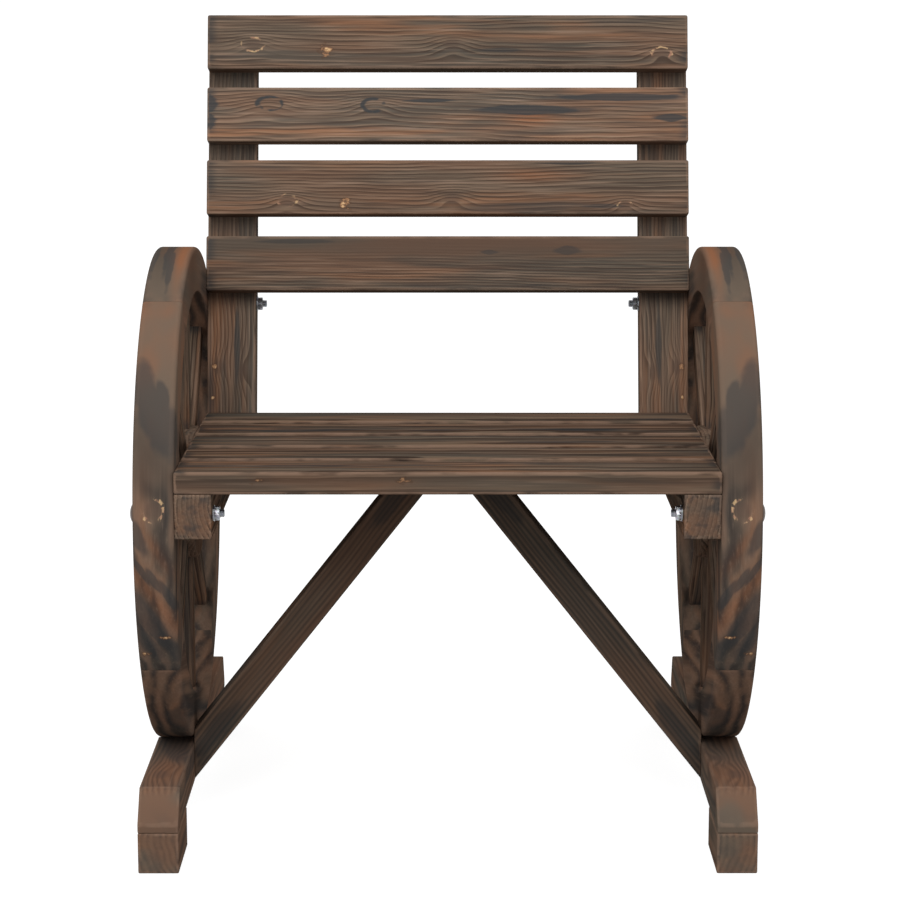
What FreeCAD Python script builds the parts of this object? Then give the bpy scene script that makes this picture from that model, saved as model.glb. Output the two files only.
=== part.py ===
import FreeCAD, Part
import os
import re
import Sketcher

# Rustic garden armchair whose two sides are wooden wheels standing on foot beams.
# Millimetres and degrees; x across, -y to the front, z up from the floor under the wheels' centre.

os.makedirs("parts", exist_ok=True)
doc = FreeCAD.newDocument("garden_chair")
sheet = doc.addObject("Spreadsheet::Sheet", "sizes")

# Sizes that can be set one by one
CHOSEN = {
    "seat_width": 528,
    "wheel_thick": 40,
    "wheel_radius": 259,
    "rim_width": 47,
    "tread_round": 4,
    "felloe_angle": 58,
    "hub_radius": 70,
    "hub_round": 3,
    "spoke_thick": 24,
    "spoke_deep": 24,
    "tenon_radius": 6,
    "tenon_long": 16,
    "tenon_room": 1,
    "dowel_radius": 5,
    "dowel_long": 44,
    "dowel_room": 1,
    "pad_height": 41,
    "pad_length": 86,
    "beam_height": 40,
    "beam_length": 541,
    "beam_slope_front": 25,
    "beam_slope_rear": 13,
    "beam_slope_high": 32,
    "wheel_sink": 10.6,
    "seat_height": 398,
    "seat_inset": 4,
    "slat_width": 60,
    "slat_thick": 22,
    "slat_round": 2,
    "seat_gap": 13.5,
    "rail_width": 36,
    "rail_height": 44,
    "seat_clear": 0.5,
    "back_lean": 14.2,
    "back_rise": 458.6,
    "back_gap": 20.6,
    "back_gap_low": 24,
    "post_width": 53,
    "post_thick": 30,
    "post_drop": 4,
    "brace_wide": 32,
    "brace_thick": 40,
    "brace_lift": 2,
    "brace_split": 1,
    "bolt_radius": 4,
    "bolt_room": 0.25,
    "bolt_head_radius": 10,
    "bolt_head_high": 4.5,
    "bolt_tail": 4.6,
    "washer_radius": 8,
    "washer_thick": 1.6,
    "nut_radius": 7.5,
    "nut_thick": 5,
    "screw_radius": 2,
    "screw_head_radius": 4,
    "screw_head_high": 3,
    "access_radius": 4.5,
    "long_screw": 60,
    "seat_screw": 56,
    "seat_screw_sink": 4,
    "seat_screw_past_bolt": 13,
    "back_screw": 44,
    "back_screw_apart": 30,
    "brace_screw": 40,
    "brace_screw_sink": 4,
    "pad_screw_sink": 12,
    "pad_screw_apart": 40,
    "wheel_screw_sink": 5,
    "wheel_screw_apart": 70,
    "hub_screw_apart": 76,
    "hub_screw_clear": 9,
    "post_screw_sink": 5,
    "post_screw_apart": 12,
    "post_screw_rise": 18,
}

# Sizes that follow from them
WORKED = {
    "inner_face": "seat_width / 2",
    "outer_face": "inner_face + wheel_thick",
    "wheel_line": "inner_face + wheel_thick / 2",
    "rim_inner": "wheel_radius - rim_width",
    "rim_middle": "wheel_radius - rim_width / 2",
    "beam_top": "pad_height + beam_height",
    "beam_end": "beam_length / 2",
    "wheel_middle": "beam_top - wheel_sink + wheel_radius",
    "seat_front": "wheel_radius - seat_inset",
    "seat_under": "seat_height - slat_thick",
    "rail_under": "seat_under - rail_height",
    "rail_middle": "seat_under - rail_height / 2",
    "rail_inner": "inner_face - rail_width",
    "rail_line": "inner_face - rail_width / 2",
    "slat_pitch": "slat_width + seat_gap",
    "seat_back": "5 * slat_width + 4 * seat_gap - seat_front",
    "lean_sin": "sin(back_lean * 1 deg)",
    "lean_cos": "cos(back_lean * 1 deg)",
    "lean_tan": "lean_sin / lean_cos",
    "post_foot": "seat_back + seat_clear",
    "post_low": "post_foot - rail_height * lean_tan",
    "post_inner": "inner_face - post_width",
    "post_line": "inner_face - post_width / 2",
    "post_top": "back_rise - post_drop",
    "back_slat_top": "back_rise - slat_width",
    "back_slat_high": "back_slat_top - slat_width - back_gap",
    "back_slat_mid": "back_slat_high - slat_width - back_gap",
    "back_slat_low": "back_slat_mid - slat_width - back_gap_low",
    "rail_bolt_y": "-sqrt(rim_middle ^ 2 - (rail_middle - wheel_middle) ^ 2)",
    "post_mid_y": "post_foot + post_thick / 2 * lean_cos",
    "post_mid_z": "seat_under - post_thick / 2 * lean_sin - wheel_middle",
    "post_mid_dot": "post_mid_y * lean_sin + post_mid_z * lean_cos",
    "post_mid_far": "post_mid_y ^ 2 + post_mid_z ^ 2",
    "post_bolt_up": "sqrt(post_mid_dot ^ 2 - post_mid_far + rim_middle ^ 2) - post_mid_dot",
    "post_bolt_y": "post_mid_y + post_bolt_up * lean_sin",
    "post_bolt_z": "wheel_middle + post_mid_z + post_bolt_up * lean_cos",
    "bolt_dome": "(bolt_head_radius ^ 2 + bolt_head_high ^ 2) / (2 * bolt_head_high)",
    "pad_middle": "beam_end - pad_length / 2",
    "brace_line": "2 * slat_pitch + slat_width / 2 - seat_front",
    "brace_low": "pad_height + brace_lift",
    "brace_run": "inner_face - brace_split",
    "brace_drop": "seat_under - brace_low",
    "brace_long": "sqrt(brace_run ^ 2 + brace_drop ^ 2)",
    "brace_top_long": "brace_wide * brace_long / brace_drop",
    "brace_side_long": "brace_wide * brace_long / brace_run",
    "brace_foot_z": "pad_height + beam_height / 2",
    "brace_foot_x": "inner_face - (brace_foot_z - brace_low) * brace_run / brace_drop + brace_screw_sink",
    "brace_head_x": "brace_split + brace_top_long / 2",
    "brace_head_z": "seat_under - brace_top_long / 2 * brace_drop / brace_run + brace_screw_sink",
}

row = 0
for name, number in CHOSEN.items():
    row += 1
    sheet.set("A%d" % row, name)
    sheet.set("B%d" % row, str(number))
    sheet.setAlias("B%d" % row, name)
for name, formula in WORKED.items():
    row += 1
    sheet.set("A%d" % row, name)
    sheet.set("B%d" % row, "=" + formula)
    sheet.setAlias("B%d" % row, name)
doc.recompute()

WORDS = set(CHOSEN) | set(WORKED)


def linked(formula):
    # A formula in size names, written as one that points into the sheet
    def point(found):
        word = found.group(0)
        return "sizes." + word if word in WORDS else word
    return re.sub(r"[A-Za-z_]+", point, str(formula))


def bind(thing, prop, formula):
    thing.setExpression(prop, linked(formula))


def place(thing, at, axis=None, angle="0"):
    # Where a thing stands, and its turn about one axis
    if axis is not None:
        thing.Placement = FreeCAD.Placement(FreeCAD.Vector(0, 0, 0), FreeCAD.Rotation(FreeCAD.Vector(*axis), 10))
        bind(thing, "Placement.Rotation.Angle", angle)
    for key, formula in zip("xyz", at):
        bind(thing, "Placement.Base." + key, formula)


# Turns that point a cylinder, which stands along z, another way
OUTWARD = ((0, 1, 0), "90")
INWARD = ((0, 1, 0), "-90")
FORWARD = ((1, 0, 0), "90")
UPRIGHT = (None, "0")


def cylinder(name, radius, length, at, turn=UPRIGHT):
    rod = doc.addObject("Part::Cylinder", name)
    bind(rod, "Radius", radius)
    bind(rod, "Height", length)
    place(rod, at, turn[0], turn[1])
    return rod


def box(name, size, at, turn=UPRIGHT):
    block = doc.addObject("Part::Box", name)
    for prop, formula in zip(("Length", "Width", "Height"), size):
        bind(block, prop, formula)
    place(block, at, turn[0], turn[1])
    return block


def group(name, things):
    pile = doc.addObject("Part::Compound", name)
    pile.Links = things
    return pile


def fuse(name, things):
    whole = doc.addObject("Part::MultiFuse", name)
    whole.Shapes = things
    return whole


def cut(name, base, tools):
    rest = doc.addObject("Part::Cut", name)
    rest.Base = base
    rest.Tool = tools[0] if len(tools) == 1 else group(name + "_tools", tools)
    return rest


def mirror(name, source):
    twin = doc.addObject("Part::Mirroring", name)
    twin.Source = source
    twin.Base = FreeCAD.Vector(0, 0, 0)
    twin.Normal = FreeCAD.Vector(1, 0, 0)
    return twin


def origin_part(body, role):
    for feature in body.Origin.OriginFeatures:
        if feature.Role == role:
            return feature


def outline(body, role, corners, offset="0"):
    # A closed outline of straight sides, each corner held by its two coordinates
    sketch = body.newObject("Sketcher::SketchObject", body.Name + "_outline")
    sketch.AttachmentSupport = [(origin_part(body, role), "")]
    sketch.MapMode = "FlatFace"
    bind(sketch, "AttachmentOffset.Base.z", offset)
    count = len(corners)
    ring = []
    for index in range(count):
        spot = FreeCAD.Rotation(FreeCAD.Vector(0, 0, 1), 360.0 * index / count)
        ring.append(spot.multVec(FreeCAD.Vector(100, 0, 0)))
    for index in range(count):
        sketch.addGeometry(Part.LineSegment(ring[index], ring[(index + 1) % count]), False)
    for index in range(count):
        sketch.addConstraint(Sketcher.Constraint("Coincident", index, 2, (index + 1) % count, 1))
    for index, corner in enumerate(corners):
        for kind, start, formula in zip(("DistanceX", "DistanceY"), ring[index], corner):
            number = sketch.addConstraint(Sketcher.Constraint(kind, -1, 1, index, 1, start))
            sketch.setExpression("Constraints[%d]" % number, linked(formula))
    return sketch


def rounded(body, last, radius, wanted):
    # Soft edges where the test picks them
    doc.recompute()
    names = ["Edge%d" % (i + 1) for i, edge in enumerate(last.Shape.Edges) if wanted(edge)]
    soft = body.newObject("PartDesign::Fillet", body.Name + "_soft")
    soft.Base = (last, names)
    bind(soft, "Radius", radius)
    body.Tip = soft
    return soft


def board(name, corners, start, long, at=("0", "0", "0"), turn="0", soft=None):
    # A timber with the given side outline in y and z, sawn to a length along x
    body = doc.addObject("PartDesign::Body", name)
    sketch = outline(body, "YZ_Plane", corners, start)
    pad = body.newObject("PartDesign::Pad", name + "_pad")
    pad.Profile = sketch
    bind(pad, "Length", long)
    body.Tip = pad
    place(body, at, (1, 0, 0), turn)
    if soft is not None:
        rounded(body, pad, soft, lambda edge: True)
    return body


def turned(name, inner, outer, span, turn, soft):
    # A ring or part of a ring about the wheel's axle line, with soft outer edges
    body = doc.addObject("PartDesign::Body", name)
    corners = (("inner_face", inner), ("outer_face", inner), ("outer_face", outer), ("inner_face", outer))
    sketch = outline(body, "XZ_Plane", corners)
    sweep = body.newObject("PartDesign::Revolution", name + "_sweep")
    sweep.Profile = sketch
    sweep.ReferenceAxis = (origin_part(body, "X_Axis"), [""])
    bind(sweep, "Angle", span)
    body.Tip = sweep
    place(body, ("0", "0", "wheel_middle"), (1, 0, 0), turn)
    doc.recompute()
    far = max(edge.Curve.Radius for edge in sweep.Shape.Edges if hasattr(edge.Curve, "Radius"))
    rounded(body, sweep, soft, lambda edge: hasattr(edge.Curve, "Radius") and edge.Curve.Radius > far - 0.01)
    return body


def screw(name, long, at, turn=UPRIGHT):
    # Countersunk wood screw whose head's flat lies at the given point
    head = doc.addObject("Part::Cone", name + "_head")
    bind(head, "Radius1", "screw_head_radius")
    bind(head, "Radius2", "screw_radius")
    bind(head, "Height", "screw_head_high")
    place(head, at, turn[0], turn[1])
    shank = cylinder(name + "_shank", "screw_radius", long, at, turn)
    return fuse(name, [head, shank])


def backwards(turn):
    # The opposite of a turn, for the access hole behind a screw's head
    axis = turn[0] if turn[0] is not None else (1, 0, 0)
    return (axis, "(" + turn[1] + ") + 180")


def access(name, long, at, turn=UPRIGHT):
    return cylinder(name, "access_radius", long, at, backwards(turn))


pieces = {}

# Dowels across the four butt joints of a rim
dowels = []
dowel_holes = []
for number in range(4):
    angle = "(felloe_angle + %d)" % (90 * number)
    level = "wheel_middle + rim_middle * sin(%s * 1 deg) %s cos(%s * 1 deg)"
    deep = "-rim_middle * cos(%s * 1 deg) %s sin(%s * 1 deg)"
    for tag, long, pile in (("dowel", "dowel_long", dowels),
                            ("dowel_hole", "(dowel_long + 2 * dowel_room)", dowel_holes)):
        spot = ("wheel_line", deep % (angle, "- " + long + " / 2 *", angle),
                level % (angle, "- " + long + " / 2 *", angle))
        pile.append(cylinder("%s_%d" % (tag, number + 1), "dowel_radius", long, spot, ((1, 0, 0), "-" + angle)))

# Spokes with a round tenon at each end
spoke_zone_far = cylinder("spoke_zone_far", "rim_inner", "wheel_thick", ("inner_face", "0", "wheel_middle"), OUTWARD)
spoke_zone_near = cylinder("spoke_zone_near", "hub_radius", "wheel_thick", ("inner_face", "0", "wheel_middle"),
                           OUTWARD)
spoke_zone = cut("spoke_zone", spoke_zone_far, [spoke_zone_near])
spokes = []
sockets = []
for number in range(8):
    lift = "(90 - %d)" % (45 * number)
    radial = ((1, 0, 0), lift)
    name = "right_wheel_spoke_%d" % (number + 1)
    bar = box(name + "_bar", ("spoke_thick", "spoke_deep", "wheel_radius"),
              ("wheel_line - spoke_thick / 2",
               "-spoke_deep / 2 * cos(%s * 1 deg)" % lift,
               "wheel_middle - spoke_deep / 2 * sin(%s * 1 deg)" % lift), radial)
    shaft = doc.addObject("Part::MultiCommon", name + "_shaft")
    shaft.Shapes = [bar, spoke_zone]
    for tag, room in (("tenon", ""), ("socket", " + tenon_room")):
        near = "(hub_radius - tenon_long%s)" % room.replace("+", "-")
        reach = "rim_inner - hub_radius + 2 * (tenon_long%s)" % room
        rod = cylinder(name + "_" + tag, "tenon_radius", reach,
                       ("wheel_line", "-%s * sin(%s * 1 deg)" % (near, lift),
                        "wheel_middle + %s * cos(%s * 1 deg)" % (near, lift)), radial)
        if tag == "tenon":
            spokes.append(fuse(name, [shaft, rod]))
        else:
            sockets.append(rod)

# Bolts through rim and seat rail, and through rim and back post
bolts = {}
bolt_holes = []
washers = []
nuts = []
for tag, inside, deep, level in (("rail", "rail_inner", "rail_bolt_y", "rail_middle"),
                                 ("post", "post_inner", "post_bolt_y", "post_bolt_z")):
    reach = "outer_face - %s + washer_thick + nut_thick + bolt_tail" % inside
    shank = cylinder(tag + "_bolt_shank", "bolt_radius", reach, ("outer_face", deep, level), INWARD)
    dome = doc.addObject("Part::Sphere", tag + "_bolt_dome")
    bind(dome, "Radius", "bolt_dome")
    bind(dome, "Angle1", "asin((bolt_dome - bolt_head_high) / bolt_dome)")
    dome.Angle2 = 90
    place(dome, ("outer_face + bolt_head_high - bolt_dome", deep, level), OUTWARD[0], OUTWARD[1])
    bolts[tag] = fuse(tag + "_bolt", [dome, shank])
    bolt_holes.append(cylinder(tag + "_bolt_hole", "bolt_radius + bolt_room", reach, ("outer_face", deep, level),
                               INWARD))
    disc = cylinder(tag + "_washer_disc", "washer_radius", "washer_thick", (inside, deep, level), INWARD)
    eye = cylinder(tag + "_washer_eye", "bolt_radius + bolt_room", "washer_thick", (inside, deep, level), INWARD)
    washers.append(cut(tag + "_washer", disc, [eye]))
    hexagon = doc.addObject("Part::Prism", tag + "_nut_hexagon")
    hexagon.Polygon = 6
    bind(hexagon, "Circumradius", "nut_radius")
    bind(hexagon, "Height", "nut_thick")
    place(hexagon, (inside + " - washer_thick", deep, level), INWARD[0], INWARD[1])
    thread = cylinder(tag + "_nut_thread", "bolt_radius", "nut_thick", (inside + " - washer_thick", deep, level),
                      INWARD)
    nuts.append(cut(tag + "_nut", hexagon, [thread]))

# Screws on the right-hand side, and the holes that lead to their heads
seat_screws = []
seat_access = []
for number in range(5):
    middle = "%d * slat_pitch + slat_width / 2 - seat_front" % number
    # The front slat's screw stands clear behind the bolt
    deep = "rail_bolt_y + seat_screw_past_bolt" if number == 0 else middle
    spot = ("rail_line", deep, "rail_under + seat_screw_sink")
    seat_screws.append(screw("seat_screw_%d" % (number + 1), "seat_screw", spot))
    seat_access.append(access("seat_access_%d" % (number + 1), "seat_screw_sink", spot))

back_screws = []
from_behind = ((1, 0, 0), "90 - back_lean")
for number, level in enumerate(("back_slat_top", "back_slat_high", "back_slat_mid", "back_slat_low")):
    for half in (-1, 1):
        along = "(%s + slat_width / 2 %+d * back_screw_apart / 2)" % (level, half)
        spot = ("post_line", "post_foot + %s * lean_sin + post_thick * lean_cos" % along,
                "seat_under + %s * lean_cos - post_thick * lean_sin" % along)
        back_screws.append(screw("back_screw_%d_%d" % (number + 1, half + 2), "back_screw", spot, from_behind))

pad_screws = []
pad_access = []
wheel_screws = []
wheel_access = []
for end in (-1, 1):
    for half in (-1, 1):
        tag = "%d_%d" % (end + 2, half + 2)
        spot = ("wheel_line", "%+d * pad_middle %+d * pad_screw_apart / 2" % (end, half), "pad_screw_sink")
        pad_screws.append(screw("pad_screw_" + tag, "long_screw", spot))
        pad_access.append(access("pad_access_" + tag, "pad_screw_sink", spot))
    spot = ("wheel_line", "%+d * wheel_screw_apart / 2" % end, "pad_height + wheel_screw_sink")
    wheel_screws.append(screw("wheel_screw_%d" % (end + 2), "long_screw", spot))
    wheel_access.append(access("wheel_access_%d" % (end + 2), "wheel_screw_sink", spot))

hub_screws = []
post_screws = []
post_access = []
for half in (-1, 1):
    # A hub screw crosses the rail between two seat screws and keeps clear of both
    wanted = "(%+d * hub_screw_apart / 2)" % half
    past = "mod(%s + seat_front - slat_width / 2; slat_pitch)" % wanted
    between = "max(hub_screw_clear; min(slat_pitch - hub_screw_clear; %s))" % past
    spot = ("rail_inner", "%s - %s + %s" % (wanted, past, between), "rail_middle")
    hub_screws.append(screw("hub_screw_%d" % (half + 2), "long_screw", spot, OUTWARD))
    # The two screws into the rail's end are staggered
    level = "(rail_middle %+d * post_screw_rise / 2)" % -half
    spot = ("rail_line %+d * post_screw_apart / 2" % half,
            "post_foot + (%s - seat_under) * lean_tan + post_thick / lean_cos - post_screw_sink" % level, level)
    post_screws.append(screw("post_screw_%d" % (half + 2), "long_screw", spot, FORWARD))
    post_access.append(access("post_access_%d" % (half + 2), "2 * post_screw_sink", spot, FORWARD))

foot_spot = ("brace_foot_x", "brace_line", "brace_foot_z")
head_spot = ("brace_head_x", "brace_line", "brace_head_z")
brace_screws = [screw("brace_screw_low", "brace_screw", foot_spot, OUTWARD),
                screw("brace_screw_high", "brace_screw", head_spot)]
brace_access = [access("brace_access_low", "brace_wide", foot_spot, OUTWARD),
                access("brace_access_high", "brace_wide", head_spot)]

# Rim of four felloes, hub and spokes of one wheel
for number in range(4):
    body = turned("felloe_%d_ring" % (number + 1), "rim_inner", "wheel_radius", "90",
                  "%d - felloe_angle" % (90 * number), "tread_round")
    pieces["right_wheel_felloe_%d" % (number + 1)] = cut(
        "right_wheel_felloe_%d" % (number + 1), body,
        [group("felloe_%d_bores" % (number + 1), dowel_holes + bolt_holes + sockets + wheel_screws)])
hub_disc = turned("hub_disc", "0", "hub_radius", "360", "0", "hub_round")
pieces["right_wheel_hub"] = cut("right_wheel_hub", hub_disc, sockets + hub_screws)
for number, spoke in enumerate(spokes):
    pieces["right_wheel_spoke_%d" % (number + 1)] = spoke

# Foot beam with sloped ends and a cradle for the wheel, on two pads
beam = board("foot_beam_bar",
             (("-beam_end", "pad_height"), ("beam_end", "pad_height"),
              ("beam_end", "beam_top - beam_slope_high"), ("beam_end - beam_slope_rear", "beam_top"),
              ("beam_slope_front - beam_end", "beam_top"), ("-beam_end", "beam_top - beam_slope_high")),
             "inner_face", "wheel_thick")
cradle = cylinder("cradle", "wheel_radius", "3 * wheel_thick", ("inner_face - wheel_thick", "0", "wheel_middle"),
                  OUTWARD)
pieces["right_foot_beam"] = cut("right_foot_beam", beam,
                                [cradle] + pad_screws + wheel_screws + wheel_access + brace_screws[:1])
for tag, deep in (("front", "-beam_end"), ("rear", "beam_end - pad_length")):
    block = box(tag + "_pad_block", ("wheel_thick", "pad_length", "pad_height"), ("inner_face", deep, "0"))
    pieces["right_%s_foot_pad" % tag] = cut("right_%s_foot_pad" % tag, block, pad_screws + pad_access)

# Seat rail with its rear end cut to the slope of the back post
rail = board("seat_rail_bar",
             (("-seat_front", "rail_under"), ("post_low", "rail_under"),
              ("post_foot", "seat_under"), ("-seat_front", "seat_under")),
             "rail_inner", "rail_width")
pieces["right_seat_rail"] = cut("right_seat_rail", rail,
                                bolt_holes[:1] + seat_screws + seat_access + hub_screws + post_screws)

# Leaning back post, level at the foot and square at the top
post = board("back_post_bar",
             (("post_low", "rail_under"), ("post_low + post_thick / lean_cos", "rail_under"),
              ("post_foot + post_top * lean_sin + post_thick * lean_cos",
               "seat_under + post_top * lean_cos - post_thick * lean_sin"),
              ("post_foot + post_top * lean_sin", "seat_under + post_top * lean_cos")),
             "post_inner", "post_width")
pieces["right_back_post"] = cut("right_back_post", post, bolt_holes[1:] + back_screws + post_screws + post_access)

# Slanting brace from the foot beam to under the middle seat slat
brace_body = doc.addObject("PartDesign::Body", "brace_bar")
brace_sketch = outline(brace_body, "XZ_Plane",
                       (("brace_split", "seat_under"), ("inner_face", "brace_low"),
                        ("inner_face", "brace_low + brace_side_long"),
                        ("brace_split + brace_top_long", "seat_under")),
                       "brace_thick / 2 - brace_line")
brace_pad = brace_body.newObject("PartDesign::Pad", "brace_bar_pad")
brace_pad.Profile = brace_sketch
brace_pad.Reversed = True
bind(brace_pad, "Length", "brace_thick")
brace_body.Tip = brace_pad
pieces["right_brace"] = cut("right_brace", brace_body, brace_screws + brace_access)

# Everything on the right-hand side has its mirror image on the left
for name in list(pieces):
    twin = name.replace("right_", "left_")
    pieces[twin] = mirror(twin, pieces[name])

# Seat slats on the rails, between the wheels
both_seat_screws = seat_screws + [mirror("left_" + thing.Name, thing) for thing in seat_screws]
brace_tops = [brace_screws[1], mirror("left_brace_screw_high", brace_screws[1])]
for number in range(5):
    name = "seat_slat_%d" % (number + 1)
    slat = board(name + "_bar",
                 (("0", "0"), ("slat_width", "0"), ("slat_width", "slat_thick"), ("0", "slat_thick")),
                 "-inner_face", "seat_width",
                 ("0", "%d * slat_pitch - seat_front" % number, "seat_under"), "0", "slat_round")
    ends = [both_seat_screws[number], both_seat_screws[number + 5]]
    pieces[name] = cut(name, slat, ends + (brace_tops if number == 2 else []))

# Back slats on the front of the leaning posts
both_back_screws = back_screws + [mirror("left_" + thing.Name, thing) for thing in back_screws]
for number, level in enumerate(("back_slat_top", "back_slat_high", "back_slat_mid", "back_slat_low")):
    name = "back_slat_%d" % (number + 1)
    slat = board(name + "_bar",
                 (("-slat_thick", "0"), ("0", "0"), ("0", "slat_width"), ("-slat_thick", "slat_width")),
                 "-inner_face", "seat_width",
                 ("0", "post_foot + %s * lean_sin" % level, "seat_under + %s * lean_cos" % level),
                 "-back_lean", "slat_round")
    ends = [both_back_screws[2 * number + step] for step in (0, 1, 8, 9)]
    pieces[name] = cut(name, slat, ends)

# Fasteners of one kind and one job are one group of separate solids
GROUPS = {
    "felloe_dowels": dowels,
    "seat_rail_bolts": [bolts["rail"]],
    "back_post_bolts": [bolts["post"]],
    "bolt_washers": washers,
    "bolt_nuts": nuts,
    "seat_slat_screws": seat_screws,
    "back_slat_screws": back_screws,
    "foot_pad_screws": pad_screws,
    "wheel_foot_screws": wheel_screws,
    "rail_hub_screws": hub_screws,
    "post_rail_screws": post_screws,
    "brace_screws": brace_screws,
}
for name, things in GROUPS.items():
    half = group(name + "_right", things)
    pieces[name] = group(name, [half, mirror(name + "_left", half)])

doc.recompute()

for thing in doc.Objects:
    if "Invalid" in thing.State or "Error" in thing.State:
        raise RuntimeError("not built: " + thing.Name)
for name, thing in pieces.items():
    if thing.Shape.isNull() or not thing.Shape.isValid() or thing.Shape.Volume <= 0:
        raise RuntimeError("bad shape: " + name)
    thing.Shape.exportStep("parts/%s.step" % name)
print(len(pieces), "pieces")
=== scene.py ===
import bpy
import numpy as np
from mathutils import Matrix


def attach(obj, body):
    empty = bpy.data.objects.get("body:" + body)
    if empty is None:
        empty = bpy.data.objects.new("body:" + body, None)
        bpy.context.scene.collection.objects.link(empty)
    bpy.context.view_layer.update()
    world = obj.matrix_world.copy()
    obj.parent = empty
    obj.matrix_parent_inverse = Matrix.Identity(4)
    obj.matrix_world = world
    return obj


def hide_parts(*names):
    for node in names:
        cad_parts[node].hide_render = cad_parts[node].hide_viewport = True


# Garden armchair in charred and stained fir, with wagon wheels for its sides.
# Metres; x across, -y to the front, z up from the floor under the wheels' centre.
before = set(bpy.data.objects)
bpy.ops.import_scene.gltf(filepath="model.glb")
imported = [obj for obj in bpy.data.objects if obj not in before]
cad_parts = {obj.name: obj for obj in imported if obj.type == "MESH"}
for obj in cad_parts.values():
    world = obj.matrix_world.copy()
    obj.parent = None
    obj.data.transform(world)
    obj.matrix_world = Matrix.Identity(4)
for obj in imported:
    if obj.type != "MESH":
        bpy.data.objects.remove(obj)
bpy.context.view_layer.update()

# Foot pads
# Short blocks of fir under both ends of each foot beam, sawn square with the arrises eased.
# Two screws from below, each in its own counterbored hole, hold a pad to the beam.
mm = 0.001
both_sides = (("left", -1), ("right", 1))
inner_face = 264 * mm
wheel_thick = 40 * mm
wheel_line = inner_face + wheel_thick / 2
beam_end = 270.5 * mm
pad_height = 41 * mm
pad_length = 86 * mm
pad_screw_apart = 40 * mm
pad_screw_sink = 12 * mm
access_radius = 4.5 * mm
bore_room = 8 * mm
eased = 1.5 * mm
worn = 3 * mm
arc_points = 5
side_columns = arc_points + 3
hole_points = 24


def section(size, soft, inset):
    """A timber's section: a rectangle with a quarter circle at each corner, drawn in evenly by the inset.
    Each side has three more points after its arc; gives all points in turn and how far each lies from a
    corner."""
    corners = np.array([[1, 1], [-1, 1], [-1, -1], [1, -1]])
    radius = np.maximum(np.broadcast_to(soft, 4) - inset, 0.1 * mm)[:, None, None]
    reach = np.array(size) / 2 - inset
    turn = np.radians(90 * np.arange(4)[:, None] + np.linspace(0, 90, arc_points))
    arcs = corners[:, None] * (reach - radius) + radius * np.stack([np.cos(turn), np.sin(turn)], -1)
    begin = arcs[:, -1:]
    run = np.roll(arcs[:, :1], -1, 0) - begin
    long = np.linalg.norm(run, axis=-1, keepdims=True)
    near = np.minimum(worn, long / 3) / long
    steps = np.concatenate([near, np.full_like(near, 0.5), 1 - near], 1)
    points = np.concatenate([arcs, begin + run * steps], 1)
    apart = np.concatenate([np.zeros((4, arc_points)), (np.minimum(steps, 1 - steps) * long)[..., 0]], 1)
    return points.reshape(-1, 2), apart.ravel()


def skin_faces(rows, columns):
    """Four-sided faces of a grid that closes round its columns, and fans to two poles, the last points."""
    grid = np.arange(rows * columns).reshape(rows, columns)
    ahead = np.roll(grid, -1, 1)
    quads = np.stack([grid[:-1], ahead[:-1], ahead[1:], grid[1:]], -1).reshape(-1, 4)
    first = np.full(columns, rows * columns)
    fans = np.concatenate([np.stack([first, ahead[0], grid[0]], -1),
                           np.stack([first + 1, grid[-1], ahead[-1]], -1)])
    return grid, quads, fans


def piece(name, points, faces, **fields):
    """A smooth mesh object at the origin, riding on the frame, with vector fields kept on its points."""
    mesh = bpy.data.meshes.new(name)
    mesh.from_pydata(points.tolist(), [], faces)
    for field, values in fields.items():
        kept = mesh.attributes.new(field, "FLOAT_VECTOR", "POINT")
        kept.data.foreach_set("vector", values.astype(np.float32).ravel())
    mesh.shade_smooth()
    mesh.set_sharp_from_angle(angle=np.radians(35))
    made = bpy.data.objects.new(name, mesh)
    bpy.context.collection.objects.link(made)
    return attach(made, "root")


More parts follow.
